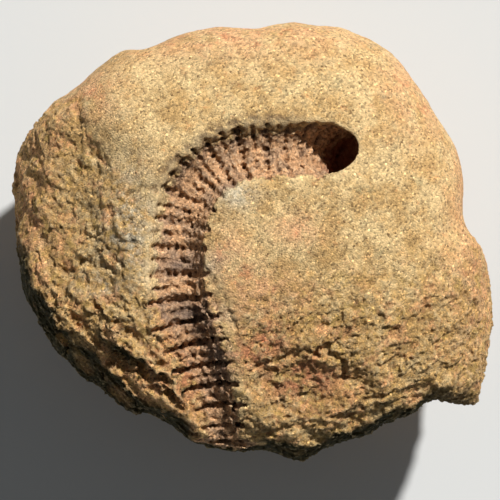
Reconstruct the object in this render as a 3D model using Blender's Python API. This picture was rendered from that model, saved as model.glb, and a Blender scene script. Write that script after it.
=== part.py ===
"""A crinoid stem fossil: the hollow mould of a sea lily's stem in a sandstone cobble.

The cobble lies on its back with the fossil side up. Metres, +Z up. The origin is the middle of the
stone's bounding box, on the plane that it rests on. Shapes are worked out in millimetres.
"""

import math

import bmesh
import bpy
from mathutils import Vector, noise

MM = 0.001

# --- The cobble -----------------------------------------------------------------------------------
# Its widest outline, seen from above, from the right side anticlockwise.
OUTLINE = (
    (43.4, 1.9), (41.9, 5.1), (43.3, 9.3), (43.3, 16.9), (40.2, 23.2), (37.0, 28.5), (31.2, 37.0),
    (26.6, 41.2), (20.3, 44.1), (14.0, 45.4), (4.6, 45.4), (0.4, 44.1), (-5.9, 44.8), (-14.2, 43.3),
    (-21.5, 40.4), (-26.8, 40.0), (-32.0, 36.8), (-37.2, 32.0), (-45.6, 25.3), (-48.3, 21.1),
    (-50.0, 15.9), (-50.0, 8.6), (-49.2, -1.9), (-46.7, -13.4), (-41.8, -22.4), (-35.4, -28.4),
    (-27.8, -33.5), (-19.6, -36.8), (-13.8, -40.8), (-7.8, -43.1), (3.0, -43.8), (10.9, -45.4),
    (14.8, -43.2), (27.0, -37.8), (34.2, -34.0), (38.4, -32.5), (41.9, -33.7), (46.2, -33.7),
    (48.7, -29.1), (49.8, -22.8), (50.2, -14.4), (49.2, -7.1), (47.7, -1.5),
)
GIRDLE = 27.0  # height of the widest outline
CROWN = 57.5  # height of the fossil side's dome, before it is worn
BELLY = -2.5  # lowest point of the rounded back, before it is cut off level at Z = 0
FRONT_FULLNESS = 3.0  # exponent of the side view's curve: 2 is an ellipse, more is squarer
BACK_FULLNESS = 2.5
ICOSPHERE_LEVEL = 7

# Worn faces: (a point on the face), (its outward direction), softness of its edge, how far it reaches.
FACES = (
    ((-34.0, 3.0, 48.2), (-0.54, 0.06, 0.84), 0.8, 20.0),  # left flank
    ((-35.0, 20.0, 52.6), (-0.40, -0.28, 0.87), 0.8, 14.0),  # and its upper end
    ((-20.0, -20.0, 54.8), (-0.25, -0.20, 0.95), 1.5, 90.0),  # lower left slope
    ((-32.5, -30.0, 40.0), (-0.60, -0.66, 0.45), 0.8, 90.0),  # steep lower left side
    ((8.0, -24.0, 54.5), (0.04, -0.34, 0.94), 2.5, 90.0),  # slope below the middle
    ((0.0, 28.0, 54.5), (0.00, 0.34, 0.94), 3.0, 90.0),  # upper slope
    ((36.0, 8.0, 52.0), (0.42, 0.08, 0.90), 3.0, 90.0),  # right slope
    ((-46.5, 6.0, 38.5), (-0.84, 0.10, 0.54), 0.8, 90.0),  # left edge
    ((38.0, -24.0, 8.0), (0.62, -0.40, -0.67), 2.0, 90.0),  # three on the back, which the stone rests on
    ((-18.0, 36.0, 9.0), (-0.25, 0.70, -0.67), 2.0, 90.0),
    ((-34.0, -20.0, 5.0), (-0.50, -0.28, -0.82), 2.0, 90.0),
)
# Lumps and hollows of the fossil side: middle, half length, half width, turn in degrees, height.
LUMPS = (
    (-33.0, -12.5, 7.0, 3.5, -8.0, 1.5),  # shelf on the left flank
    (-22.5, -14.0, 4.0, 5.0, 0.0, 0.7),
    (-43.0, 14.0, 4.0, 11.0, 0.0, 1.2),  # swell of the upper left edge
    (-44.5, -8.0, 2.5, 9.0, 20.0, 1.2),  # rib along the left edge
    (-42.0, -1.0, 1.8, 6.0, 25.0, -1.0),  # groove beside the rib
    (-36.0, 4.0, 5.0, 5.0, 0.0, -0.8),  # hollow of the left flank
    (10.0, -30.0, 11.0, 4.5, 4.0, -1.4),  # scar below the middle
    (4.0, -42.0, 4.0, 2.6, 0.0, -2.8),  # hollow in the lower edge
    (11.0, -43.0, 4.5, 2.5, 10.0, 1.5),  # lump beside it
    (44.0, 4.5, 5.0, 3.0, 20.0, -1.6),  # notch in the right side
    (38.0, -11.0, 10.0, 9.0, 0.0, 0.9),  # swell of the right side
    (44.0, -30.0, 5.0, 5.0, 0.0, 1.0),  # lower right lobe
    (37.0, -6.0, 3.0, 2.0, 20.0, -0.8),  # pit in it
    (22.0, -14.0, 7.0, 5.0, 30.0, 0.7),  # swell above the scar
    (-6.0, 34.0, 12.0, 4.0, 5.0, -0.6),  # dip of the upper slope
)
# Ledges of the fossil side: from, to, drop on the right hand of that way, distance over which it ends.
LEDGES = (
    ((-2.0, -28.5), (8.0, -23.5), 1.5, 6.0),  # upper edge of the scar
    ((6.0, -23.0), (20.5, -24.5), 1.8, 6.0),
    ((19.0, -23.5), (26.0, -34.0), 1.1, 4.0),
    ((-43.0, -6.0), (-23.0, -9.0), 1.3, 2.0),  # crack above the shelf
    ((11.0, -37.5), (34.0, -31.5), 1.3, 3.0),  # lower right ledges
    ((14.0, -41.0), (32.0, -35.0), 1.2, 3.0),
    ((-42.0, -17.0), (-22.0, -32.0), 1.1, 4.0),  # along the lower left edge
    ((-37.0, -15.0), (-19.0, -26.0), 0.8, 3.0),
)
ROUGH = 0.9  # how far the broken stone stands out and in
SMOOTH = 0.25  # and the worn stone
BACK_SWELL = 2.5  # how far the broad waves of the back stand out and in

# --- The stem that left the mould -----------------------------------------------------------------
# Its axis, from the end buried under the right side, round the bend, to where it leaves the stone.
STEM_ROUTE = (
    (21.9, 16.7, 41.5), (19.9, 17.3, 45.0), (17.4, 17.9, 49.0), (14.2, 18.4, 52.6), (10.4, 18.7, 55.1),
    (6.2, 18.7, 56.5), (1.4, 18.6, 57.0), (-2.6, 18.0, 57.3), (-6.6, 16.3, 57.7), (-10.3, 13.4, 58.0),
    (-13.0, 9.4, 57.9), (-14.9, 3.6, 57.5), (-15.4, -2.2, 57.3), (-15.4, -7.9, 57.2),
    (-14.7, -12.8, 57.1), (-13.7, -17.0, 56.8), (-12.3, -22.0, 56.3), (-10.6, -28.0, 55.1),
    (-9.3, -32.4, 53.6), (-8.1, -36.4, 51.9), (-7.0, -40.6, 49.9), (-6.0, -44.4, 47.4), (-5.1, -48.0, 44.4),
)
# Its radius between the rims, at even steps from the buried end to the other.
STEM_RADII = (4.8, 5.1, 5.4, 5.7, 5.7, 5.3, 5.5, 6.1, 6.6, 6.2, 5.7)
RIM_PITCH = 5.15  # from one large rim of the stem to the next
LARGE_RIM = 1.2  # how far a large rim stands out
SMALL_RIM = 0.5  # and the small one halfway between
SIDES = 28
TRIANGLES = 9800

SANDSTONE = (0.56, 0.40, 0.22)


def clear_scene():
    for obj in list(bpy.data.objects):
        bpy.data.objects.remove(obj, do_unlink=True)


def sandstone_material():
    material = bpy.data.materials.new("sandstone")
    material.use_nodes = True
    shader = material.node_tree.nodes["Principled BSDF"]
    shader.inputs["Base Color"].default_value = (*SANDSTONE, 1.0)
    shader.inputs["Roughness"].default_value = 0.9
    shader.inputs["Metallic"].default_value = 0.0
    return material


def outline_radius(turn, table):
    """Distance from the middle to the outline in the direction of turn, on a smooth closed curve."""
    count = len(table)
    step = next((i for i in range(count) if turn < table[i][0]), count)
    spots = []
    for i in range(step - 2, step + 2):
        laps, place = divmod(i, count)
        spots.append((table[place][0] + laps * math.tau, table[place][1]))
    (t0, r0), (t1, r1), (t2, r2), (t3, r3) = spots
    share = (turn - t1) / (t2 - t1)
    slope1 = (r2 - r0) / (t2 - t0) * (t2 - t1)
    slope2 = (r3 - r1) / (t3 - t1) * (t2 - t1)
    rise = share * share * (3 - 2 * share)
    return (
        r1 * (1 - rise)
        + r2 * rise
        + slope1 * share * (1 - share) ** 2
        - slope2 * share**2 * (1 - share)
    )


def outline_table():
    return sorted((math.atan2(y, x) % math.tau, math.hypot(x, y)) for x, y in OUTLINE)


def softplus(depth, softness):
    if depth > 20 * softness:
        return depth
    return softness * math.log1p(math.exp(depth / softness))


def mean_radius(turn, table):
    """The outline's distance averaged over a wide angle, which leaves its notches out."""
    turns = [(turn + math.radians(step)) % math.tau for step in range(-30, 31, 10)]
    return sum(outline_radius(t, table) for t in turns) / len(turns)


def smoothstep(low, high, value):
    share = min(1.0, max(0.0, (value - low) / (high - low)))
    return share * share * (3 - 2 * share)


def beyond(x, y, start, end):
    """How far (x, y) lies to the right of the way from start to end, and its share of that way."""
    way_x, way_y = end[0] - start[0], end[1] - start[1]
    length = math.hypot(way_x, way_y)
    off_x, off_y = x - start[0], y - start[1]
    return (off_x * way_y - off_y * way_x) / length, (off_x * way_x + off_y * way_y) / length**2


def relief(x, y):
    """Height that the lumps and ledges add to the fossil side at this place."""
    wander = noise.noise_vector(Vector((x, y, 0)) / 6.0)
    x, y = x + 1.6 * wander.x, y + 1.6 * wander.y
    height = 0.0
    for mid_x, mid_y, half_x, half_y, turn, rise in LUMPS:
        c, s = math.cos(math.radians(turn)), math.sin(math.radians(turn))
        off_x, off_y = x - mid_x, y - mid_y
        u, v = (off_x * c + off_y * s) / half_x, (off_y * c - off_x * s) / half_y
        height += rise * math.exp(-(u * u + v * v))
    for start, end, drop, run in LEDGES:
        aside, share = beyond(x, y, start, end)
        if aside > -1:
            within = smoothstep(0.0, 0.3, share) * smoothstep(1.0, 0.7, share)
            height -= drop * within * smoothstep(-0.5, 0.6, aside) * math.exp(-max(0.0, aside) / run)
    return height


def roughness(x, y):
    """1 where the stone is broken and coarse, 0 where it is worn smooth."""
    flank = smoothstep(-1.0, 4.0, -(x + 22.0) - 0.7 * max(0.0, y - 8.0))
    lower = smoothstep(-10.0, -26.0, y)
    return max(flank, lower)


def stone_point(direction, table):
    """The point of the uncut cobble's surface in this direction from its middle."""
    front = direction.z > 0
    fullness = FRONT_FULLNESS if front else BACK_FULLNESS
    level = math.hypot(direction.x, direction.y)
    turn = math.atan2(direction.y, direction.x) % math.tau
    mean = mean_radius(turn, table)
    reach = (mean + (outline_radius(turn, table) - mean) * level**14) * level ** (2 / fullness)
    height = (CROWN - GIRDLE if front else BELLY - GIRDLE) * abs(direction.z) ** (2 / fullness)
    point = Vector((reach * math.cos(turn), reach * math.sin(turn), GIRDLE + height))
    for through, outward, softness, reaches in FACES:
        normal = Vector(outward).normalized()
        away = point - Vector(through)
        share = smoothstep(1.3 * reaches, 0.8 * reaches, away.length)
        point -= normal * softplus(normal.dot(away), softness) * share
    point.z += relief(point.x, point.y) * smoothstep(0.0, 0.5, direction.z)
    swell = noise.noise(point / 22.0) * BACK_SWELL * smoothstep(0.0, -0.5, direction.z)
    coarse = roughness(point.x, point.y) if front else 0.5
    grain = noise.fractal(point / 7.0, 0.9, 2.1, 4) * (SMOOTH + (ROUGH - SMOOTH) * coarse)
    return point + direction * (grain + swell)


def make_cobble():
    mesh = bpy.data.meshes.new("stone")
    work = bmesh.new()
    bmesh.ops.create_icosphere(work, subdivisions=ICOSPHERE_LEVEL, radius=1.0)
    table = outline_table()
    for vert in work.verts:
        point = stone_point(vert.co.normalized(), table)
        point.z = max(point.z, 0.0)
        vert.co = point * MM
    work.to_mesh(mesh)
    work.free()
    stone = bpy.data.objects.new("stone", mesh)
    bpy.context.scene.collection.objects.link(stone)
    return stone


def curve_points(route, step):
    """Points every step or so along a smooth curve through the route."""
    spots = [Vector(p) for p in route]
    spots = [2 * spots[0] - spots[1], *spots, 2 * spots[-1] - spots[-2]]
    fine = []
    for p0, p1, p2, p3 in zip(spots, spots[1:], spots[2:], spots[3:]):
        for i in range(40):
            t = i / 40
            bend = (2 * p0 - 5 * p1 + 4 * p2 - p3) * t**2 + (3 * p1 - p0 - 3 * p2 + p3) * t**3
            fine.append((2 * p1 + (p2 - p0) * t + bend) / 2)
    fine.append(spots[-2])
    made, gone = [fine[0]], 0.0
    for a, b in zip(fine, fine[1:]):
        length = (b - a).length
        while gone + length >= step:
            a = a + (b - a) * ((step - gone) / length)
            made.append(a.copy())
            length = (b - a).length
            gone = 0.0
        gone += length
    return made


def stem_radius(share):
    """The stem's radius between the rims at this share of its length."""
    step, within = divmod(share * (len(STEM_RADII) - 1), 1)
    first, second = STEM_RADII[int(step)], STEM_RADII[min(int(step) + 1, len(STEM_RADII) - 1)]
    return first + (second - first) * within


def make_stem():
    """The stem as a solid: a tube with rims, large and small by turns, that fade at the buried end."""
    spots = curve_points(STEM_ROUTE, RIM_PITCH / 8)
    work = bmesh.new()
    rings = []
    last = len(spots) - 1
    for i, spot in enumerate(spots):
        along = (spots[min(i + 1, last)] - spots[max(i - 1, 0)]).normalized()
        across = along.cross(Vector((0, 0, 1))).normalized()
        up = across.cross(along)
        radius = stem_radius(i / last)
        rim = {0: LARGE_RIM, 4: SMALL_RIM}.get(i % 8, 0.0) * smoothstep(14, 24, i)
        ring = []
        for k in range(SIDES):
            turn = math.tau * k / SIDES
            out = across * math.cos(turn) + up * math.sin(turn)
            knob = 1.0 if k % 2 else 0.55
            ring.append(work.verts.new((spot + out * (radius + rim * knob)) * MM))
        rings.append(ring)
    for a, b in zip(rings, rings[1:]):
        for k in range(SIDES):
            n = (k + 1) % SIDES
            work.faces.new((a[k], a[n], b[n], b[k]))
    work.faces.new(reversed(rings[0]))
    work.faces.new(rings[-1])
    bmesh.ops.recalc_face_normals(work, faces=work.faces)
    mesh = bpy.data.meshes.new("stem_cutter")
    work.to_mesh(mesh)
    work.free()
    stem = bpy.data.objects.new("stem_cutter", mesh)
    bpy.context.scene.collection.objects.link(stem)
    stem.hide_render = True
    stem.display_type = "WIRE"
    return stem


def cut(target, cutter):
    modifier = target.modifiers.new("mould", "BOOLEAN")
    modifier.operation = "DIFFERENCE"
    modifier.solver = "EXACT"
    modifier.object = cutter
    apply_modifiers(target)


def merge_close(target, distance):
    """Merges corners that the cut left almost on top of each other."""
    work = bmesh.new()
    work.from_mesh(target.data)
    bmesh.ops.remove_doubles(work, verts=work.verts, dist=distance)
    bmesh.ops.dissolve_degenerate(work, edges=work.edges, dist=distance)
    work.to_mesh(target.data)
    work.free()


def thin_out(target, triangles):
    """Brings the mesh down to this many triangles, keeping those that carry the shape."""
    count = sum(len(face.vertices) - 2 for face in target.data.polygons)
    modifier = target.modifiers.new("thin out", "DECIMATE")
    modifier.ratio = min(1.0, triangles / count)
    modifier.use_collapse_triangulate = True
    apply_modifiers(target)


def apply_modifiers(target):
    graph = bpy.context.evaluated_depsgraph_get()
    made = bpy.data.meshes.new_from_object(target.evaluated_get(graph))
    target.modifiers.clear()
    target.data = made


def level_rest(target):
    """Puts the resting flat's corners on Z = 0 exactly."""
    for vert in target.data.vertices:
        if vert.co.z < 0.05 * MM:
            vert.co.z = 0.0


def centre_on_base(target):
    """Puts the origin under the middle of the stone, as seen from above."""
    corners = [vert.co for vert in target.data.vertices]
    middle_x = (max(c.x for c in corners) + min(c.x for c in corners)) / 2
    middle_y = (max(c.y for c in corners) + min(c.y for c in corners)) / 2
    for vert in target.data.vertices:
        vert.co.x -= middle_x
        vert.co.y -= middle_y


def main():
    clear_scene()
    stone = make_cobble()
    stem = make_stem()
    cut(stone, stem)
    merge_close(stone, 0.02 * MM)
    thin_out(stone, TRIANGLES)
    level_rest(stone)
    centre_on_base(stone)
    stone.data.materials.clear()
    stone.data.materials.append(sandstone_material())
    bpy.data.objects.remove(stem, do_unlink=True)


main()
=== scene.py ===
# %% [markdown]
# # A crinoid stem fossil
# A crinoid, or sea lily, stood on a long stem of stacked discs. Here a piece of such a stem lay in sand
# that became sandstone. The stem has since dissolved, and its hollow mould is left: a hooked channel
# with a rib for every disc. This lesson weathers the plain stone solid into that sandstone cobble.
#
# The imported solid comes first, as the frame that everything keeps to.

import itertools
import math

import bpy
import numpy as np
from mathutils import Euler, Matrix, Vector, noise


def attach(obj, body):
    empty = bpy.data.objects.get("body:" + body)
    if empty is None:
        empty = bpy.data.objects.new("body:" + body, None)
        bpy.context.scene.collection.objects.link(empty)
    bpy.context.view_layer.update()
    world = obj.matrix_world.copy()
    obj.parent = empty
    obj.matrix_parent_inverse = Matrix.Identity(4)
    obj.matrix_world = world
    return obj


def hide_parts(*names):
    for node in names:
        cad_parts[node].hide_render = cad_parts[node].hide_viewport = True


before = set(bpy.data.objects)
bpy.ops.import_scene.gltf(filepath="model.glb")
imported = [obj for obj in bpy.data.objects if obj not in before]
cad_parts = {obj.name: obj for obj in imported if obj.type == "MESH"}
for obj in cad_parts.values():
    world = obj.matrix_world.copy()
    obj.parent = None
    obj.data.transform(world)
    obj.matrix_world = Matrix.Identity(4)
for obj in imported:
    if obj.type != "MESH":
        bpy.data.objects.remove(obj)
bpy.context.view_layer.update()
MM = 0.001


# %% [markdown]
# Blender's operators act on whatever is selected, and the frame arrives selected. Two small helpers
# keep that in order: one makes a single object the selected one, the other adds a modifier with its
# settings and applies it straight away, as a sculptor would finish one pass before the next.

# %% Helpers for objects and modifiers
def take(obj):
    """Makes obj the only selected object, and the active one."""
    bpy.ops.object.select_all(action="DESELECT")
    obj.select_set(True)
    bpy.context.view_layer.objects.active = obj
    return obj


def pass_with(obj, kind, **settings):
    """Adds one modifier of this kind to obj and applies it."""
    take(obj)
    modifier = obj.modifiers.new(kind.title(), kind)
    for name, value in settings.items():
        setattr(modifier, name, value)
    bpy.ops.object.modifier_apply(modifier=modifier.name)


def corners(obj, what="co"):
    """The places of obj's vertices as an array, or their normals."""
    values = np.empty(len(obj.data.vertices) * 3)
    obj.data.vertices.foreach_get(what, values)
    return values.reshape(-1, 3)


def move_corners(obj, places):
    """Puts obj's vertices at these places."""
    obj.data.vertices.foreach_set("co", places.ravel())
    obj.data.update()


def push(obj, amounts):
    """Moves obj's vertices out along their normals by these amounts in millimetres, or in where they are below 0."""
    move_corners(obj, corners(obj) + corners(obj, "normal") * amounts[:, None] * MM)


print("the solid has", len(corners(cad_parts["stone"])), "corners")


# %% [markdown]
# The real stone has no flat facets, but its main form is already in the solid: the outline, the worn
# faces, the ledges. So the stone starts as a copy of the solid. A voxel remesh turns its long triangles
# into an even skin, and a smoothing pass rubs off the facets the way wear would.

# %% The cobble's even skin
take(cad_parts["stone"])
bpy.ops.object.duplicate()
stone = bpy.context.object
stone.name = "sandstone_cobble"
stone.parent = None
for tag in list(stone.keys()):
    del stone[tag]
take(stone)
bpy.ops.object.mode_set(mode="EDIT")
bpy.ops.mesh.select_all(action="SELECT")
bpy.ops.mesh.remove_doubles(threshold=0.001 * MM)
bpy.ops.object.mode_set(mode="OBJECT")
pass_with(stone, "REMESH", mode="VOXEL", voxel_size=0.5 * MM, adaptivity=0.0)
pass_with(stone, "SMOOTH", factor=0.5, iterations=14)
print("even skin:", len(stone.data.polygons), "faces")


# %% [markdown]
# Wear isn't the same everywhere. The upper face is rubbed smooth. The left flank broke away along a
# ridge, the lower left came off in slanting splinters, the lower right crumbled, and the back is weathered
# all over. Each zone is a formula of place, from 0 to 1. A vertex group could be painted by hand instead,
# but a formula works on any skin, and the skin is renewed twice here. The groups are filled from it, because
# modifiers read groups.

# %% Zones of wear
def ease(low, high, value):
    """0 at low, 1 at high, and a smooth rise between them."""
    share = np.clip((value - low) / (high - low), 0.0, 1.0)
    return share * share * (3.0 - 2.0 * share)


def zones(places):
    """How much of each kind of broken surface there is at each place, from 0 to 1."""
    x, y, z = (places / MM).T
    # Below the face the edges of the zones wander, as the edge of a break does.
    astray = ease(52.0, 38.0, z) * (2.6 * np.sin(z / 4.1) + 1.5 * np.sin(z / 1.7 + y / 3.0))
    x, y = x + astray, y + astray
    back = ease(30.0, 18.0, z)
    flank = ease(-1.0, 3.5, -(x + 21.0) - 0.75 * np.maximum(0.0, y - 7.0)) * ease(14.0, 30.0, z)
    splinters = ease(-9.0, -13.0, y) * ease(-3.0, -16.0, x + 0.15 * y) * ease(10.0, 22.0, z)
    crumble = ease(3.0, -18.0, y - 0.12 * (x - 20.0)) * ease(-9.0, -2.0, x + 0.1 * y) * ease(10.0, 22.0, z)
    foot = ease(0.3, 3.0, z)
    return {"back": back * foot, "flank": flank * foot, "splinters": splinters * foot, "crumble": crumble * foot,
            "all": foot}


def paint_group(obj, name, weights, steps=24):
    """Writes weights from 0 to 1 into a vertex group, rounded to a number of steps."""
    group = obj.vertex_groups.new(name=name)
    levels = np.rint(weights * steps).astype(int)
    for level in range(1, steps + 1):
        group.add(np.flatnonzero(levels == level).tolist(), level / steps, "REPLACE")


def paint_zones(obj):
    """Renews obj's vertex groups, one for each zone."""
    obj.vertex_groups.clear()
    for name, weights in zones(corners(obj)).items():
        paint_group(obj, name, weights)
        print("zone", name, "covers %.0f %%" % (100.0 * weights.mean()))


paint_zones(stone)


# %% [markdown]
# Worn sandstone is never flat: it has swells the size of a fingertip and lumps the size of a crumb. A
# displace modifier moves the skin in and out by a texture, so each size of lump is one pass with a texture
# of that size. Textures are laid out along an object's axes, and an empty object lends the modifier slanted
# ones, so that no pattern lines up with the stone's faces. Each pass takes a little more than it gives, so
# the stone never outgrows its solid. For that, the texture is first sampled to learn its usual value.

# %% Tools for a worn surface
SLANTED = (31.0, 17.0, 43.0)  # degrees; in line with no face of the stone


def grain(name, size, kind="CLOUDS", **settings):
    """A texture for the displace modifier, with lumps of about this size."""
    texture = bpy.data.textures.new(name, kind)
    texture.noise_scale = size * MM
    for setting, value in settings.items():
        setattr(texture, setting, value)
    return texture


def usual(texture):
    """The texture's usual value and how far it strays from it, from samples."""
    places = np.random.RandomState(3).uniform(-0.05, 0.05, (400, 3))
    values = [texture.evaluate(Vector(place))[3] for place in places]
    return np.mean(values), np.std(values)


def roughen(obj, texture, strength, group):
    """Moves obj's skin in and out by the texture, as strongly in millimetres as strength and the group say."""
    bpy.ops.object.empty_add(rotation=tuple(math.radians(angle) for angle in SLANTED))
    axes = bpy.context.object
    bpy.context.view_layer.update()
    middle, stray = usual(texture)
    bias = math.copysign(0.5 * stray, strength)
    pass_with(obj, "DISPLACE", texture=texture, strength=strength * MM, mid_level=middle + bias,
              vertex_group=group, texture_coords="OBJECT", texture_coords_object=axes)
    bpy.data.objects.remove(axes)
    print(texture.name, "on", group or "everything:", "usual value %.2f, strays by %.2f" % (middle, stray))


# %% [markdown]
# The mould follows the same route that the solid was cut with, so the fine ribs will fall where the plain
# ones were. The route is a row of points, and one helper measures how far a place is from such a row, seen
# from above, and on which side.

# %% The route of the mould
STEM_ROUTE = (
    (21.9, 16.4, 41.1), (19.9, 17.0, 44.6), (17.4, 17.6, 48.5), (14.2, 18.1, 52.1), (10.4, 18.4, 54.6),
    (6.2, 18.4, 56.0), (1.4, 18.3, 56.5), (-2.6, 17.7, 56.8), (-6.6, 16.0, 57.2), (-10.3, 13.1, 57.5),
    (-13.0, 9.1, 57.4), (-14.9, 3.3, 57.3), (-15.4, -2.5, 57.1), (-15.4, -8.2, 57.0),
    (-14.7, -13.1, 56.9), (-13.7, -17.3, 56.6), (-12.3, -22.3, 56.0), (-10.6, -28.3, 54.8),
    (-9.3, -32.7, 53.4), (-8.1, -36.7, 51.8), (-7.0, -40.9, 49.9), (-6.0, -44.7, 47.4), (-5.1, -48.3, 44.4),
)
# Its radius in millimetres, at even steps from the buried end to the other.
STEM_RADII = (4.85, 5.1, 5.4, 5.7, 5.7, 5.3, 5.5, 6.1, 6.6, 6.2, 5.7)


def line_distance(x, y, points):
    """The distance of each place from a line of points, and the side it is on: above 0 on the left."""
    nearest, side = np.full(len(x), 1e9), np.zeros(len(x))
    for (x0, y0), (x1, y1) in zip(points, points[1:]):
        dx, dy = x1 - x0, y1 - y0
        share = np.clip(((x - x0) * dx + (y - y0) * dy) / (dx ** 2 + dy ** 2), 0.0, 1.0)
        away = np.hypot(x - x0 - share * dx, y - y0 - share * dy)
        left = dx * (y - y0) - dy * (x - x0)
        side = np.where(away < nearest, left, side)
        nearest = np.minimum(nearest, away)
    return nearest, side


route_seen = np.array(STEM_ROUTE)[:, :2]  # the route from above
print("route:", len(route_seen), "points,", len(STEM_RADII), "radii")

# %% [markdown]
# Broken zones and mould are chipped in different ways, so each has to be told from the other. The mould is
# what lies near the route and below the level of the banks on either side of it. That level is kept now, as
# places scattered along the banks, because later the banks are roughened and cut.

# %% What counts as mould
MOULD_REACH = 9.5  # millimetres from the route, past the widest rim

skin = corners(stone) / MM
away, side = line_distance(skin[:, 0], skin[:, 1], route_seen)
banks = skin[(away > 9.0) & (away < 13.0) & (skin[:, 2] > 38.0)][::12]
print("banks known at", len(banks), "places")


def depth_below(places):
    """How deep each place lies under the stone's surface as it was before the mould, in millimetres."""
    x, y, z = (places / MM).T
    depth = np.empty(len(places))
    for start in range(0, len(places), 5000):
        part = slice(start, start + 5000)
        weight = ((x[part, None] - banks[:, 0]) ** 2 + (y[part, None] - banks[:, 1]) ** 2 + 1.0) ** -2
        depth[part] = (weight * banks[:, 2]).sum(1) / weight.sum(1) - z[part]
    return depth


def in_mould(places, margin=0.35):
    """Which places lie in the mould: near its route and under the banks."""
    x, y, z = (places / MM).T
    away, side = line_distance(x, y, route_seen)
    inside = np.zeros(len(x), bool)
    lowest = np.where(y < 0.0, 41.0, 34.0)  # the outside of the stone, under the mould's open end, isn't mould
    near = np.flatnonzero((away < MOULD_REACH) & (z > lowest))
    inside[near] = depth_below(places[near]) > margin
    return inside


print("the plain channel covers %.0f %% of the skin" % (100.0 * in_mould(corners(stone)).mean()))


# %% [markdown]
# A fresh break in sandstone is made of small flat chips, each with its own slant. No texture gives slanted
# planes, so these are worked out in code: space is divided into cells round scattered centres, every cell
# gets a random level and a random slant, and each vertex moves to the plane of the cell that it is in. The
# random numbers come from a formula of the cell's place, so they are the same on every run.

# %% A chipped surface
EVEN = (1.0, 1.0, 1.0)  # no stretch


def random_of(cells, seed):
    """Three random numbers from 0 to 1 for each cell, always the same for the same cell."""
    spread = np.array([[127.1, 269.5, 113.5], [311.7, 183.3, 271.9], [74.7, 246.1, 124.6]])
    return np.mod(np.sin(cells @ spread + seed) * 4375.85453, 1.0)


def chips(places, size, along, stretch=EVEN, seed=1.0):
    """The height of a chipped surface at each place, about from -1 to 1; the chips have about this size."""
    turn = np.array(Euler([math.radians(angle) for angle in along]).to_matrix())
    spots = (places / MM) @ turn / (size * np.array(stretch))
    home = np.floor(spots)
    nearest, height = np.full(len(spots), 9.0), np.zeros(len(spots))
    for shift in itertools.product((-1.0, 0.0, 1.0), repeat=3):
        cell = home + shift
        off = spots - cell - random_of(cell, seed)
        away = (off ** 2).sum(1)
        slant, level = random_of(cell, seed + 5.0) - 0.5, random_of(cell, seed + 9.0)[:, 0] - 0.5
        height = np.where(away < nearest, 0.6 * level + 2.0 * (off * slant).sum(1), height)
        nearest = np.minimum(nearest, away)
    return height


def wobble(places, size, strength, seed=0.0):
    """A soft random number for each place."""
    return strength * np.array([noise.noise(Vector(place) / size + Vector((seed, 0.0, 0.0))) for place in places])


def chip(obj, zone, *cuts):
    """Chips obj where the zone says. Each cut is a size, a depth in millimetres, a direction and a stretch."""
    places = corners(obj)
    if zone == "mould":
        away, side = line_distance(places[:, 0] / MM, places[:, 1] / MM, route_seen)
        share = in_mould(places) * ease(8.2, 7.2, away)
    else:
        share = zones(places)[zone] * (1.0 - in_mould(places))
    chosen = np.flatnonzero(share > 0.02)
    places = places[chosen]
    ragged = places + 0.25 * MM * np.stack([wobble(places / MM, 0.8, 1.0, 3.0 + axis) for axis in range(3)], 1)
    amounts = np.zeros(len(obj.data.vertices))
    for number, (size, depth, along, stretch) in enumerate(cuts):
        amounts[chosen] += (chips(ragged, size, along, stretch, number + 1.0) - 0.25) * depth * share[chosen]
    push(obj, amounts)
    print("chips on the", zone, "at", len(chosen), "corners, from %.2f to %.2f mm" % (amounts.min(), amounts.max()))


# %% [markdown]
# The coarse skin is broken up now, from the largest shapes to the smaller ones: swells and lumps first,
# then chips the size of a fingernail in each broken zone, drawn out along the layers of the stone. Between
# the mould and the left flank the stone bulges a little, which is a soft push outwards.

# %% Swells, lumps and large chips
DOWN_RIGHT = (14.0, 10.0, -40.0)  # the slant of the layers on the left, in degrees
UP_RIGHT = (10.0, -8.0, 14.0)  # and on the lower right

places = corners(stone) / MM
shoulder = np.exp(-((places[:, 0] + 26.5) / 4.5) ** 2 - ((places[:, 1] - 1.0) / 9.0) ** 2) * (places[:, 2] > 40.0)
push(stone, 0.9 * shoulder)
roughen(stone, grain("swells", 9.0, noise_depth=2), 0.8, "all")
roughen(stone, grain("worn lumps", 3.2, noise_depth=3), 0.4, "all")
chip(stone, "flank", (7.0, 0.5, DOWN_RIGHT, (1.8, 1.0, 1.0)), (3.0, 0.3, DOWN_RIGHT, (1.8, 1.0, 1.0)))
chip(stone, "splinters", (6.0, 0.9, DOWN_RIGHT, (2.4, 1.0, 1.2)), (2.6, 0.5, DOWN_RIGHT, (2.4, 1.0, 1.2)))
chip(stone, "crumble", (5.0, 0.6, UP_RIGHT, (1.4, 1.0, 1.0)), (2.4, 0.34, UP_RIGHT, (1.2, 1.0, 1.0)))
chip(stone, "back", (8.0, 0.6, UP_RIGHT, (1.4, 1.0, 1.0)))
roughen(stone, grain("weathered back", 4.0, "MUSGRAVE", musgrave_type="RIDGED_MULTIFRACTAL", octaves=4, lacunarity=2.2,
                     dimension_max=0.9, offset=0.9, gain=1.5, noise_intensity=0.6), 0.6, "back")


# %% [markdown]
# Some breaks are features of this one stone: the sunken strip beside the mould, the edge of the scar below
# it, splits in the splintered corner. Each is a line on the surface, given by the few points where it turns.

# %% Cracks and ledges
RING = tuple((4.4 + 2.7 * math.cos(turn), 6.0 + 2.4 * math.sin(turn)) for turn in range(7))  # nearly once round
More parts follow.
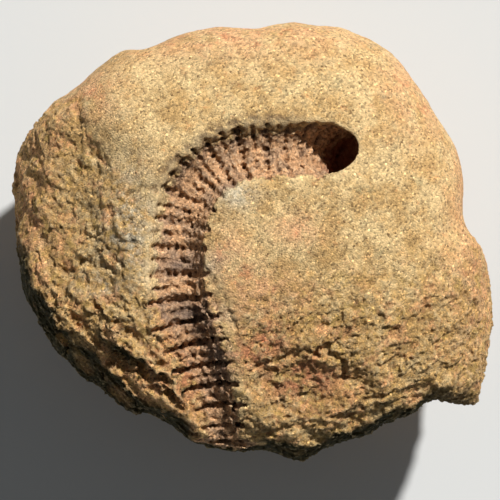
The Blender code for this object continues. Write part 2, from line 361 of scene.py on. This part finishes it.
# Width and depth in millimetres, then the line. A ledge is low on its right-hand side, seen along the line.
CRACKS = (
    (0.7, 0.6, ((12.1, -22.2), (15.9, -21.0), (18.9, -18.4))),  # above the scar
    (0.7, 0.5, ((18.3, -24.2), (17.9, -28.8))),  # the scar's right side
    (1.1, 0.9, ((26.5, -25.6), (28.3, -24.4), (27.6, -26.3))),
    (1.7, 1.9, ((-28.0, -23.6), (-24.0, -25.6), (-20.5, -27.6), (-17.6, -28.6))),  # the splintered corner
    (1.2, 1.7, ((-22.3, -27.4), (-19.5, -30.2), (-16.5, -31.2), (-14.7, -34.1))),
    (0.7, 0.8, ((-19.5, -25.0), (-15.7, -26.0))),
    (0.8, 0.4, ((-34.4, 1.1), (-31.0, -0.6), (-29.1, -1.9), (-26.3, -5.3))),
    (0.7, 0.6, ((-35.4, -5.3), (-30.1, -1.3))),
    (0.6, 0.4, ((-44.6, -1.9), (-43.2, -4.7))),  # the left edge
    (0.6, 0.4, ((-46.0, 10.6), (-44.2, 5.9))),
    (0.8, 0.8, ((-38.0, -14.0), (-34.0, -18.0), (-31.0, -21.5))),
    (0.9, 0.9, ((-33.0, -12.5), (-29.0, -16.0), (-25.5, -18.5))),
    (0.7, 0.6, ((-7.0, -40.3), (-1.6, -36.1), (0.6, -37.3))),  # across the end of the mould
    (0.6, 0.5, ((26.3, -5.9), (18.0, -15.0), (14.0, -20.5))),
    (0.7, 0.35, ((-33.2, 17.6), (-31.0, 17.0), (-28.9, 15.2))),  # the small scar at the top left
    (0.9, 0.25, RING),  # a faint ring in the middle of the face
)
LEDGES = (
    (4.5, 0.5, ((-9.4, -3.9), (-8.2, -7.2), (-5.6, -11.9), (-3.6, -15.6))),  # the strip beside the mould
    (2.0, 0.9, ((-0.6, -25.6), (7.4, -22.4), (15.3, -21.6), (18.3, -24.2), (18.9, -26.8))),  # the scar's edge
    (1.6, 0.5, ((13.5, -36.9), (18.9, -34.3), (23.5, -31.5), (29.7, -30.5), (36.0, -29.3), (39.8, -31.5))),
    (1.6, 0.5, ((0.0, -39.9), (12.1, -36.1), (25.5, -34.7))),
    (3.0, 1.0, ((-29.5, -6.0), (-34.0, -5.4), (-35.6, -6.8), (-39.0, -6.4))),  # across the left flank
    (1.6, 0.4, ((-35.8, 27.2), (-33.4, 20.0), (-31.0, 17.0))),  # the ridge above it
    (1.4, 0.5, ((-24.9, 9.9), (-21.9, 10.6), (-19.5, 10.2))),
)
print(len(CRACKS), "cracks and", len(LEDGES), "ledges")

# %% [markdown]
# The skin sinks next to a line, by an amount that fades out with the distance. A ledge fades slowly on its
# low side and ends sharply on its high side. A little noise in the distance keeps the lines from looking
# drawn. The ledges are wide, so they go in now. The narrow cracks wait for the finer skin.

# %% Sink the ledges
def sink_lines(obj, lines, ledge):
    """Sinks obj's skin along the lines, on both sides or, for a ledge, on the right-hand side."""
    places = corners(obj) / MM
    depth = np.zeros(len(places))
    for width, deep, points in lines:
        ends = np.array(points)
        box = (places[:, :2] > ends.min(0) - width - 2.0) & (places[:, :2] < ends.max(0) + width + 2.0)
        close = np.flatnonzero(box.all(1) & (places[:, 2] > 12.0))
        top = places[close]
        x = top[:, 0] + wobble(top, 1.6, 1.1) + wobble(top, 0.6, 0.4)
        y = top[:, 1] + wobble(top, 1.6, 1.1, 9.0) + wobble(top, 0.6, 0.4, 9.0)
        away, side = line_distance(x, y, points)
        fade = np.clip(1.0 - away / width, 0.0, 1.0)
        if ledge:
            fade = np.where(side < 0.0, ease(width, 0.15 * width, away), ease(0.35, 0.0, away))
        depth[close] = np.maximum(depth[close], deep * fade)
    push(obj, -depth)
    print(len(lines), "lines sink %.2f mm at most" % depth.max())


sink_lines(stone, LEDGES, True)


# %% [markdown]
# The fossil itself is made the way nature made it: with the stem. One length of stem, from one large
# rim to the next, starts as a circle and is drawn out ring by ring, each ring wider or narrower than the
# last. One length is enough, because an array repeats it. The first ring needs no step, and every later
# one is an extrude and a resize.

# %% One length of the stem
RIM_PITCH = 5.15 * MM
STEM_RADIUS = 6.2 * MM  # of the plain stem in this one length, before the route widens or narrows it
KNOBS = 28
CORNERS = 4 * KNOBS
# Along the length, in shares of the pitch, and how far that ring stands out from the plain stem.
RINGS = (
    (0.00, 2.6), (0.08, 2.5), (0.12, 1.2), (0.15, 0.1), (0.22, -0.1), (0.25, 0.5), (0.29, -0.1), (0.42, 0.0),
    (0.45, 1.8), (0.55, 1.8), (0.58, 0.0), (0.71, -0.1), (0.75, 0.5), (0.79, -0.1), (0.85, 0.1),
    (0.88, 1.2), (0.92, 2.5), (1.00, 2.6),
)

bpy.ops.object.select_all(action="DESELECT")
bpy.ops.mesh.primitive_circle_add(vertices=CORNERS, radius=STEM_RADIUS, rotation=(0.0, math.pi / 2, 0.0))
stem = bpy.context.object
stem.name = "stem"
bpy.ops.object.transform_apply(location=False, rotation=True, scale=False)
bpy.ops.object.mode_set(mode="EDIT")
bpy.ops.mesh.select_all(action="SELECT")
radius, along = STEM_RADIUS, 0.0
for number, (share, rise) in enumerate(RINGS):
    if number:
        step = share * RIM_PITCH - along
        bpy.ops.mesh.extrude_region_move(TRANSFORM_OT_translate={"value": (step, 0.0, 0.0)})
        along += step
    wanted = STEM_RADIUS + rise * MM
    bpy.ops.transform.resize(value=(1.0, wanted / radius, wanted / radius), center_override=(along, 0.0, 0.0))
    radius = wanted
bpy.ops.object.mode_set(mode="OBJECT")
print("one length of stem:", len(stem.data.vertices), "corners")

# %% [markdown]
# An array repeats the length of stem into a straight row, whose ends are then closed. The route becomes a
# smooth curve through its points, along which a curve modifier will bend the row. The curve's radius at
# each point widens the stem, from the thin end buried in the stone to the thick end at the edge.

# %% A straight row and a curve to bend it along
LENGTHS = 21

route_curve = bpy.data.curves.new("route", "CURVE")
route_curve.dimensions = "3D"
route_curve.twist_mode = "Z_UP"
route_curve.resolution_u = 24
spline = route_curve.splines.new("BEZIER")
spline.bezier_points.add(len(STEM_ROUTE) - 1)
reach = np.concatenate([[0.0], np.cumsum(np.linalg.norm(np.diff(STEM_ROUTE, axis=0), axis=1))])
radii = np.interp(reach / reach[-1], np.linspace(0.0, 1.0, len(STEM_RADII)), STEM_RADII)
for knot, place, wide in zip(spline.bezier_points, STEM_ROUTE, radii):
    knot.co = Vector(place) * MM
    knot.handle_left_type = knot.handle_right_type = "AUTO"
    knot.radius = wide * MM / STEM_RADIUS
route = bpy.data.objects.new("route", route_curve)
bpy.context.scene.collection.objects.link(route)

pass_with(
    stem, "ARRAY", count=LENGTHS, use_relative_offset=False, use_constant_offset=True,
    constant_offset_displace=(RIM_PITCH, 0.0, 0.0), use_merge_vertices=True, merge_threshold=0.01 * MM,
)
take(stem)
bpy.ops.object.mode_set(mode="EDIT")
bpy.ops.mesh.select_all(action="SELECT")
bpy.ops.mesh.fill_holes(sides=0)
bpy.ops.mesh.select_all(action="SELECT")
bpy.ops.mesh.normals_make_consistent(inside=False)
bpy.ops.object.mode_set(mode="OBJECT")
print("stem:", LENGTHS, "lengths,", len(stem.data.vertices), "corners")


# %% [markdown]
# The rims' edges carried knobs, and each knob left a pit. Between two knobs the corners of a rim are
# pulled back in, each by a slightly different amount, and every second corner moves along the stem, which
# gives the rims saw teeth. Near the stone's surface the rims fade, so the banks of the channel stay nearly
# straight. A copy of the stem is bent along the route to find out how deep each corner comes to lie.

# %% Knobs round the rims
# The ring's number, the corners from one knob to the next, and how much of the rim is gone between two knobs.
KNOB_RINGS = ((0, 4, 0.9), (1, 4, 0.9), (2, 4, 0.95), (5, 2, 0.9), (8, 4, 0.95), (9, 4, 0.95), (12, 2, 0.9),
              (15, 4, 0.95), (16, 4, 0.9))
TOOTHED_RINGS = (1, 2, 8, 9, 15, 16)
LOWER_RUN = 62.0 * MM  # along the stem, past the bend

take(stem)
bpy.ops.object.duplicate()
probe = bpy.context.object
pass_with(probe, "CURVE", object=route, deform_axis="POS_X")
depth = depth_below(corners(probe))
bpy.data.objects.remove(probe)

places = corners(stem)
share = np.mod(places[:, 0] / RIM_PITCH + 0.002, 1.0)
ring_of = np.searchsorted([ring[0] for ring in RINGS], share, "right") - 1
corner_of = np.rint(np.arctan2(places[:, 1], places[:, 2]) / math.tau * CORNERS).astype(int)
uneven = wobble(places / MM, 1.1, 1.0)
rise = np.array([ring[1] for ring in RINGS])[ring_of] * MM
near_surface = np.where(places[:, 0] < 50.0 * MM, ease(-1.1, 0.6, depth), ease(-0.3, 0.9, depth))
kept = near_surface * (1.0 + 0.9 * uneven)
# In the lower run the pits of the large rims run together into grooves.
run_together = (places[:, 0] >= LOWER_RUN) & ((share <= 0.2) | (share >= 0.8))
for ring, spacing, gone in KNOB_RINGS:
    wave = 0.5 - 0.5 * np.cos(math.tau * corner_of / spacing)
    kept = np.where(ring_of == ring, kept * (1.0 - gone * np.where(run_together, 0.4, 1.0) * wave), kept)
across = np.linalg.norm(places[:, 1:], axis=1)
outside = across > STEM_RADIUS - 0.01 * MM
wanted = STEM_RADIUS + rise * np.clip(kept, 0.0, 1.4)
places[:, 1:] *= np.where(outside, wanted / np.maximum(across, MM), 1.0)[:, None]
places[:, 0] += np.where(outside, 0.7 * MM * wobble(places / MM, 1.0, 1.0, 5.0), 0.0)
teeth = np.where(corner_of % 2 == 0, 1.0, -1.0) * (0.6 + 0.8 * uneven)
places[:, 0] += np.where(outside & np.isin(ring_of, TOOTHED_RINGS), 0.55 * MM * teeth, 0.0)
move_corners(stem, places)
pass_with(stem, "CURVE", object=route, deform_axis="POS_X")
print("corners lie", np.percentile(depth, (5, 50, 95)).round(1), "mm deep")
print("rims stand out %.1f mm at most" % (rise * kept / MM).max())


# %% [markdown]
# No two knobs of a real stem are alike. A fine remesh gives the stem its own even skin, and two light
# displace passes make the knobs and rims irregular before the stem is used.

# %% The stem's irregular surface
pass_with(stem, "REMESH", mode="VOXEL", voxel_size=0.2 * MM, adaptivity=0.0)
roughen(stem, grain("uneven rims", 1.4), 0.9, "")
roughen(stem, grain("uneven knobs", 0.7, noise_basis="VORONOI_F1", noise_depth=1), -0.8, "")
pass_with(stem, "REMESH", mode="VOXEL", voxel_size=0.2 * MM, adaptivity=0.0)
print("stem surface:", len(stem.data.polygons), "faces")

# %% [markdown]
# The boolean takes the stem's shape out of the stone, as the dissolved stem left it. Both are closed skins,
# so the manifold solver can be used, which is the fastest.

# %% Cut the mould
pass_with(stone, "BOOLEAN", operation="DIFFERENCE", solver="MANIFOLD", object=stem)
bpy.data.objects.remove(stem)
print("stone with its mould:", len(stone.data.polygons), "faces")


# %% [markdown]
# Now the whole stone gets its final skin, fine enough for single crumbs. The cut left both walls of the
# mould equally steep. In the upper run the right-hand bank really leans back, so its foot is lifted, and
# further down single lumps of stone stand out from its foot.

# %% The final skin and the leaning bank
pass_with(stone, "REMESH", mode="VOXEL", voxel_size=0.24 * MM, adaptivity=0.0)
paint_zones(stone)
places = corners(stone)
x, y, z = (places / MM).T
away, side = line_distance(x, y, route_seen)
bank = (away < 9.0) & (side > 0.0)

near = np.flatnonzero(bank & (z > 40.0) & (y > -30.0) & (y < 14.0))
lift = np.exp(-((away[near] - 5.8) / 1.5) ** 2) * ease(12.0, 8.0, y[near]) * ease(-28.0, -20.0, y[near])
places[near, 2] += 2.3 * MM * lift * ease(1.0, 4.6, depth_below(places[near]))
print("the bank's foot rises at", len(near), "corners")

near = np.flatnonzero(bank & (z > 34.0) & (y < -8.0) & (y > -44.0))
lumps = np.clip(chips(places[near], 1.8, UP_RIGHT) + 0.1, 0.0, 0.6)
lift = np.exp(-((away[near] - 4.6) / 1.5) ** 2) * ease(-8.0, -14.0, y[near])
places[near, 2] += 3.4 * MM * lift * ease(1.4, 3.0, depth_below(places[near])) * lumps
move_corners(stone, places)
print("final skin:", len(stone.data.polygons), "faces")

# %% [markdown]
# The last passes are the smallest: the cracks, crumbs where the stone is broken, and worn grain everywhere.
# The inside of the mould is chipped too, but only lightly, or its ribs would be lost.

# %% Cracks, crumbs and grain
sink_lines(stone, CRACKS, False)
chip(stone, "crumble", (1.3, 0.34, UP_RIGHT, (1.1, 1.0, 1.0)), (0.8, 0.26, UP_RIGHT, EVEN))
chip(stone, "splinters", (1.4, 0.36, DOWN_RIGHT, (2.2, 1.0, 1.1)), (0.8, 0.18, DOWN_RIGHT, (1.5, 1.0, 1.0)))
chip(stone, "flank", (1.4, 0.3, DOWN_RIGHT, (1.6, 1.0, 1.1)), (0.8, 0.16, DOWN_RIGHT, (1.3, 1.0, 1.0)))
chip(stone, "mould", (1.5, 0.26, UP_RIGHT, EVEN), (0.8, 0.18, DOWN_RIGHT, EVEN))
roughen(stone, grain("worn grain", 1.2, noise_depth=3), 0.22, "all")


# %% [markdown]
# So many faces are too many to carry. Decimate merges the faces that add least to the shape. It goes three
# times, and a vertex group holds what is not to change: first the back is thinned, which is hardly seen,
# then the outer surface, and then everything, down to a set number. So the mould, with its small pits,
# keeps most of its faces. Last, what lies lowest is set flat on the floor.

# %% Keep it light
def triangles(obj):
    return sum(len(face.vertices) - 2 for face in obj.data.polygons)


def thin(obj, name, chosen, share):
    """Thins the chosen part of obj to a share of its triangles, and leaves the rest."""
    before = triangles(obj)
    obj.vertex_groups.clear()
    paint_group(obj, name, np.where(chosen, 0.0, 1.0))
    pass_with(obj, "DECIMATE", ratio=1.0 - chosen.mean() * (1.0 - share), vertex_group=name, invert_vertex_group=True)
    print(name, "thinned:", before, "to", triangles(obj), "triangles")


TRIANGLES = 197000
BACK_BELOW = 30.0 * MM
thin(stone, "back", corners(stone)[:, 2] < BACK_BELOW, 0.05)
thin(stone, "outer surface", ~in_mould(corners(stone)) & (corners(stone)[:, 2] > BACK_BELOW), 0.2)
pass_with(stone, "DECIMATE", ratio=TRIANGLES / triangles(stone))
mould_share = 100.0 * in_mould(corners(stone)).mean()
print("kept", triangles(stone), "triangles, with %.0f %% of the corners in the mould" % mould_share)
places = corners(stone)
places[:, 2] = np.where(places[:, 2] < 0.25 * MM, 0.0, places[:, 2])
move_corners(stone, places)
stone.vertex_groups.clear()
take(stone)
bpy.ops.object.shade_smooth()


# %% [markdown]
# Colour follows the stone's history as its shape does. Iron stains the rims orange, a grey patch of finer
# sand lies left of the mould, and the fresh scar is pinkish. A dark band, part stain and part painted shade,
# lines the mould's upper wall, and painted shade darkens the pits, the mould's deep end and the steep lower
# front. Each of these is a number at every vertex, kept in an attribute that the material can read. How
# hollow a place is comes from comparing the stone with a smoothed copy of itself.

# %% Numbers for the material
def note(obj, name, values):
    """Keeps one number for each vertex of obj under a name."""
    attribute = obj.data.attributes.new(name, "FLOAT", "POINT")
    attribute.data.foreach_set("value", values.astype(np.float32))
    print(name, "is %.3f on average" % values.mean())


def hollowness(obj, passes):
    """How far each vertex lies below its smoothed surroundings in millimetres, and how far those face up."""
    take(obj)
    bpy.ops.object.duplicate()
    smooth = bpy.context.object
    pass_with(smooth, "SMOOTH", factor=0.5, iterations=passes)
    below = ((corners(smooth) - corners(obj)) * corners(smooth, "normal")).sum(1) / MM
    upward = corners(smooth, "normal")[:, 2]
    bpy.data.objects.remove(smooth)
    return below, upward


# Places of colour: centre, half-widths in millimetres.
GREY = (
    (-25.0, 2.0, 6.0, 12.0), (-3.0, 9.5, 4.0, 3.0), (-14.0, -5.0, 7.0, 2.4), (-12.0, -15.0, 7.0, 2.6),
    (-6.5, -24.0, 3.0, 6.0), (-31.0, -9.0, 5.0, 3.0),
)
RUST = (
    (-34.0, 30.0, 7.0, 5.0), (-5.0, 43.0, 30.0, 6.0), (36.0, 32.0, 10.0, 10.0), (46.0, 5.0, 6.0, 30.0),
    (-47.0, 5.0, 6.0, 24.0), (-5.0, -3.0, 4.0, 5.0), (3.0, -10.0, 6.0, 4.0), (9.0, 2.0, 5.0, 3.0),
    (-2.0, -8.0, 3.0, 6.0), (-30.0, -30.0, 12.0, 8.0),
)
PINK = ((10.0, -28.0, 9.0, 5.0), (3.0, -20.0, 5.0, 5.0), (-0.5, -23.0, 5.0, 4.0), (-12.0, -24.0, 6.0, 12.0))


def spots(x, y, places_of_colour):
    """How much of a colour there is at each place."""
    amount = np.zeros(len(x))
    for centre_x, centre_y, wide, tall in places_of_colour:
        amount = np.maximum(amount, np.exp(-((x - centre_x) / wide) ** 2 - ((y - centre_y) / tall) ** 2))
    return amount


# %% [markdown]
# The numbers themselves. Most fade between two limits of place, depth or slope. The depth under the banks
# is the same one that told the mould apart before.

# %% Every vertex gets its numbers
x, y, z = (corners(stone) / MM).T
away, side = line_distance(x, y, route_seen)
near = np.flatnonzero((away < MOULD_REACH) & (z > np.where(y < 0.0, 40.0, 34.0)))
cover = np.zeros(len(x))
cover[near] = depth_below(corners(stone)[near]) * np.where(y[near] < 0.0, ease(40.0, 42.5, z[near]), 1.0)
print("under the banks:", np.percentile(cover[near], (10, 50, 90)).round(2), "mm, at most", cover.max().round(1))

bank = (side > 0.0) & (y < 6.0)  # the sunken strip on this side is no part of the mould
upper_wall = (side < 0.0) * ease(0.0, 8.0, y + 0.3 * x)
note(stone, "mould", ease(0.7, 1.4, cover) * np.where(bank, ease(7.8, 7.0, away), 1.0))
# Partly a dark stain, partly painted shade: the upper wall of the bend, which faces away from the sun.
note(stone, "wall_stain_and_shade", ease(3.2, 5.6, away) * ease(0.6, 1.4, cover) * upper_wall * ease(20.0, 10.0, x))
# A dark band along the upper bank: part stain, part painted shade on its slope away from the sun.
note(stone, "bank_stain_and_shade", ease(8.0, 6.2, away) * ease(4.0, 1.0, cover) * upper_wall * ease(14.0, 4.0, x))
note(stone, "depth", cover)
# Painted shade: the buried end of the mould, deep under the banks.
note(stone, "deep", ease(8.0, 12.0, cover) * ease(6.0, 12.0, x))

front = ease(10.0, 30.0, z)
note(stone, "grey", spots(x, y, GREY) * front)
note(stone, "pink", spots(x, y, PINK) * front)
note(stone, "rust", np.maximum(spots(x, y, RUST), 0.6 * ease(30.0, 10.0, z)))
below, upward = hollowness(stone, 12)
note(stone, "hollow", below)
below, upward = hollowness(stone, 60)
note(stone, "sheltered", below)
# Painted shade with a greenish painted reflection: steep slopes of the lower front, turned away from the sun, are
# marked for darkening.
steep_for_shade = ease(0.78, 0.5, upward) * ease(1.2, 0.4, cover)
note(stone, "under", steep_for_shade * ease(-10.0, -22.0, y + 0.35 * x) * ease(6.0, 30.0, z))
zone = zones(corners(stone))
note(stone, "broken", np.max([zone["flank"], zone["splinters"], zone["crumble"], 0.7 * zone["back"]], axis=0))
bpy.data.objects.remove(route)


# %% [markdown]
# Sandstone is sand grains held by iron-stained cement. It is dull all over, so roughness and specular level
# are plain settings. The patterns are laid out along the object's own axes, which a mapping node turns.

# %% The sandstone material
sandstone = bpy.data.materials.new("sandstone")
sandstone.use_nodes = True
nodes, links = sandstone.node_tree.nodes, sandstone.node_tree.links
shader = nodes["Principled BSDF"]
shader.inputs["Roughness"].default_value = 0.88
shader.inputs["Specular IOR Level"].default_value = 0.3
coordinates = nodes.new("ShaderNodeTexCoord")
place = nodes.new("ShaderNodeMapping")  # turned, so that no pattern lines up with the stone's flat face
place.inputs["Rotation"].default_value = (0.5, 0.3, 0.7)
links.new(coordinates.outputs["Object"], place.inputs["Vector"])
print("material:", sandstone.name)

# %% [markdown]
# The colour takes many nodes, but only of a few kinds, so each kind gets a helper that adds one and links
# it: a noise, an attribute, a smooth step, arithmetic on two numbers, and a blend of two colours.

# %% Helpers for the nodes
def linear(red, green, blue):
    """A colour given as on a screen, from 0 to 255, in the linear numbers that nodes use."""
    shares = (red / 255, green / 255, blue / 255)
    return tuple(c / 12.92 if c <= 0.04 else ((c + 0.055) / 1.055) ** 2.4 for c in shares) + (1.0,)


def mottle(size, detail=4.0, roughness=0.6, distortion=0.0):
    """Noise with patches of about this size in millimetres; gives back its strength."""
    pattern = nodes.new("ShaderNodeTexNoise")
    links.new(place.outputs["Vector"], pattern.inputs["Vector"])
    pattern.inputs["Scale"].default_value = 1.0 / (size * MM)
    pattern.inputs["Detail"].default_value = detail
    pattern.inputs["Roughness"].default_value = roughness
    pattern.inputs["Distortion"].default_value = distortion
    return pattern.outputs["Fac"]


def number(name):
    """An attribute of the stone."""
    reader = nodes.new("ShaderNodeAttribute")
    reader.attribute_name = name
    return reader.outputs["Fac"]


def step(value, low, high, bottom=0.0, top=1.0):
    """Turns low to high into bottom to top, smoothly, and holds it outside."""
    ranger = nodes.new("ShaderNodeMapRange")
    ranger.interpolation_type = "SMOOTHSTEP"
    links.new(value, ranger.inputs["Value"])
    for socket, setting in zip(("From Min", "From Max", "To Min", "To Max"), (low, high, bottom, top)):
        ranger.inputs[socket].default_value = setting
    return ranger.outputs["Result"]


def sum_of(kind, first, second):
    """Adds, multiplies or otherwise joins two numbers."""
    joiner = nodes.new("ShaderNodeMath")
    joiner.operation = kind
    for socket, value in zip(joiner.inputs, (first, second)):
        if isinstance(value, (int, float)):
            socket.default_value = value
        else:
            links.new(value, socket)
    return joiner.outputs["Value"]


def blend(under, over, amount, kind="MIX"):
    """Lays one colour over another by an amount."""
    mixer = nodes.new("ShaderNodeMix")
    mixer.data_type = "RGBA"
    mixer.blend_type = kind
    for socket, value in (("Factor_Float", amount), ("A_Color", under), ("B_Color", over)):
        target = next(s for s in mixer.inputs if s.identifier == socket)
        if isinstance(value, (tuple, float)):
            target.default_value = value
        else:
            links.new(value, target)
    return next(s for s in mixer.outputs if s.identifier == "Result_Color")


# %% [markdown]
# Cement is mostly tan, mottled by noises of a few sizes. Each stain, and each patch of painted shade, is one
# colour laid over the ones before it. How much of it shows is an attribute, times an amount, times a noise
# that breaks its edge up into patches.

# %% Body colour
def share_of(name, amount, pattern):
    """An attribute times an amount, broken up by a pattern."""
    return sum_of("MULTIPLY", sum_of("MULTIPLY", number(name), amount), pattern)


body = blend(linear(220, 188, 134), linear(196, 158, 102), step(mottle(7.0, 6.0, 0.7), 0.4, 0.62))
body = blend(body, linear(180, 162, 118), step(mottle(4.5, 5.0, 0.7), 0.56, 0.7, 0.0, 0.7))
body = blend(body, linear(214, 148, 92), step(mottle(2.2, 5.0, 0.75), 0.57, 0.7, 0.0, 0.6))
body = blend(body, linear(218, 164, 118), share_of("rust", 0.9, step(mottle(6.0, 5.0, 0.7), 0.3, 0.6)))
body = blend(body, linear(208, 132, 88), share_of("rust", 0.7, step(mottle(2.6, 5.0, 0.75), 0.5, 0.66)))
body = blend(body, linear(202, 190, 164), share_of("grey", 0.9, step(mottle(3.0, 5.0, 0.7), 0.36, 0.6)))
body = blend(body, linear(212, 166, 98), share_of("broken", 0.8, step(mottle(2.0, 5.0, 0.75), 0.4, 0.6)))
body = blend(body, linear(236, 170, 118), share_of("broken", 0.6, step(mottle(5.0, 5.0, 0.75), 0.5, 0.62)))
body = blend(body, linear(190, 160, 88), share_of("broken", 0.6, step(mottle(4.0, 5.0, 0.7), 0.53, 0.66)))
body = blend(body, linear(208, 134, 94), share_of("pink", 0.9, step(mottle(3.0, 4.0, 0.7), 0.38, 0.58)))
# Painted shade, with a greenish painted reflection: the steep lower front is darkened almost to black.
body = blend(body, linear(44, 44, 8), share_of("under", 0.97, step(mottle(5.0, 4.0, 0.6), 0.08, 0.42)))
body = blend(body, linear(210, 160, 116), sum_of("MULTIPLY", number("mould"), 0.88))
body = blend(body, linear(146, 122, 100), share_of("mould", 0.6, step(mottle(3.0, 4.0, 0.7), 0.46, 0.6)))
body = blend(body, linear(126, 108, 96), sum_of("MULTIPLY", number("mould"), sum_of("MULTIPLY", number("grey"), 0.7)))
# Painted shade: the mould grows a little darker with its depth under the banks.
body = blend(body, linear(96, 74, 58), sum_of("MULTIPLY", step(number("depth"), 3.0, 7.0), 0.15))
# Dark brown band along the upper bank: part stain, part painted shade.
body = blend(body, linear(84, 62, 46), share_of("bank_stain_and_shade", 0.8, step(mottle(1.2, 4.0, 0.7), 0.36, 0.58)))
# A dark stain and painted shade together, nearly black, on the upper wall of the bend.
body = blend(body, linear(50, 32, 24), share_of("wall_stain_and_shade", 0.9, step(mottle(1.3, 4.0, 0.7), 0.34, 0.54)))
print("body colour:", len(nodes), "nodes so far")

# %% [markdown]
# Sand grains are cells of a Voronoi texture, each multiplied by its own brightness: a few nearly black, most
# near 1, and some bright quartz. Then come painted shade in the pits and a painted highlight on the tips.

# %% Grains, pits and tips
GRAIN = 0.4 * MM
grains = nodes.new("ShaderNodeTexVoronoi")
links.new(place.outputs["Vector"], grains.inputs["Vector"])
grains.inputs["Scale"].default_value = 1.0 / GRAIN
tint = nodes.new("ShaderNodeValToRGB")
links.new(grains.outputs["Color"], tint.inputs["Fac"])
stops = tint.color_ramp.elements
stops[0].position, stops[0].color = 0.0, (0.22, 0.17, 0.13, 1.0)
stops[1].position, stops[1].color = 1.0, (2.6, 2.6, 2.5, 1.0)
for position, value in ((0.14, 0.5), (0.4, 0.92), (0.66, 1.1), (0.88, 1.45)):
    stop = stops.new(position)
    stop.color = (value, value, value, 1.0)
body = blend(body, tint.outputs["Color"], 0.95, "MULTIPLY")
body = blend(body, linear(92, 62, 36), step(mottle(0.9, 3.0, 0.8), 0.56, 0.72, 0.0, 0.55))
# Painted shade: pits and sheltered hollows are darkened, a little more in the mould and less where the stone is
# broken.
mould_pit_shade = sum_of("ADD", 0.5, sum_of("MULTIPLY", number("mould"), 0.12))
pit_shade = sum_of("SUBTRACT", mould_pit_shade, sum_of("MULTIPLY", number("broken"), 0.2))
body = blend(body, linear(86, 56, 32), sum_of("MULTIPLY", step(number("hollow"), 0.03, 0.28), pit_shade))
body = blend(body, linear(66, 42, 26), sum_of("MULTIPLY", step(number("sheltered"), 0.25, 1.1), pit_shade))
# Painted shade: the mould's deeper pits are darkened nearly to black.
body = blend(body, linear(50, 32, 24), share_of("mould", 0.85, step(number("hollow"), 0.12, 0.42)))
# Painted highlight: raised tips and ridges are lightened, more strongly inside the mould.
body = blend(body, linear(232, 204, 154), step(number("hollow"), -0.06, -0.3, 0.0, 0.35))
body = blend(body, linear(236, 196, 156), share_of("mould", 1.0, step(number("hollow"), -0.02, -0.26, 0.0, 0.6)))
# Painted shade: deep in the buried end of the mould the colour turns dark red-brown.
body = blend(body, linear(150, 70, 36), sum_of("MULTIPLY", number("deep"), 0.8))
links.new(body, shader.inputs["Base Color"])
print("with grains, pits and tips:", len(nodes), "nodes")

# %% [markdown]
# What is smaller than a triangle is left to a bump: the same grains, and a fine noise that is stronger where
# the stone is broken. The material then takes the place of the solid's plain one, and the finished cobble
# takes the place of the solid's node.

# %% Fine relief, and the stone in its place
relief = nodes.new("ShaderNodeBump")
relief.inputs["Distance"].default_value = 0.5 * MM
relief.inputs["Strength"].default_value = 1.0
coarse = sum_of("ADD", 0.9, sum_of("MULTIPLY", number("broken"), 0.5))
noisy = sum_of("MULTIPLY", mottle(0.8, 5.0, 0.8), coarse)
rounded = sum_of("MULTIPLY", grains.outputs["Distance"], -0.35)
links.new(sum_of("ADD", noisy, rounded), relief.inputs["Height"])
links.new(relief.outputs["Normal"], shader.inputs["Normal"])
stone.data.materials.clear()
stone.data.materials.append(sandstone)
print("whole material:", len(nodes), "nodes")

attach(stone, "root")
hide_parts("stone")

# %% [markdown]
# The stone lies on a plain pale floor. One sun from the upper right, low enough to draw every rib, gives the
# shadows, and a faint bluish sky fills them a little. The camera looks straight down.

# %% Floor, lights and camera
SUN_FROM = (0.36, 0.62, 0.70)
CAMERA_AT = (-0.0006, -0.0019, 0.53)  # metres
WIDTH_SEEN = 0.1046  # metres, at half a metre from the camera
SENSOR = 36.0

bpy.ops.object.select_all(action="DESELECT")
bpy.ops.mesh.primitive_plane_add(size=4.0)
floor = bpy.context.object
floor.name = "floor"
pale = bpy.data.materials.new("pale floor")
pale.use_nodes = True
pale.node_tree.nodes["Principled BSDF"].inputs["Base Color"].default_value = (0.62, 0.62, 0.6, 1.0)
floor.data.materials.append(pale)

bpy.ops.object.light_add(type="SUN")
key = bpy.context.object
key.data.energy = 5.0
key.data.angle = math.radians(4.0)
key.rotation_euler = Vector(SUN_FROM).to_track_quat("Z", "Y").to_euler()
world = bpy.data.worlds.new("studio")
world.use_nodes = True
world.node_tree.nodes["Background"].inputs["Color"].default_value = (0.9, 0.95, 1.0, 1.0)
world.node_tree.nodes["Background"].inputs["Strength"].default_value = 0.13
bpy.context.scene.world = world

bpy.ops.object.camera_add(location=CAMERA_AT, rotation=(0.0, 0.0, 0.0))
camera = bpy.context.object
camera.data.sensor_width = SENSOR
camera.data.lens = SENSOR * 0.5 / WIDTH_SEEN
bpy.context.scene.camera = camera
bpy.context.scene.view_settings.view_transform = "Standard"

print("camera:", round(camera.data.lens, 1), "mm lens")
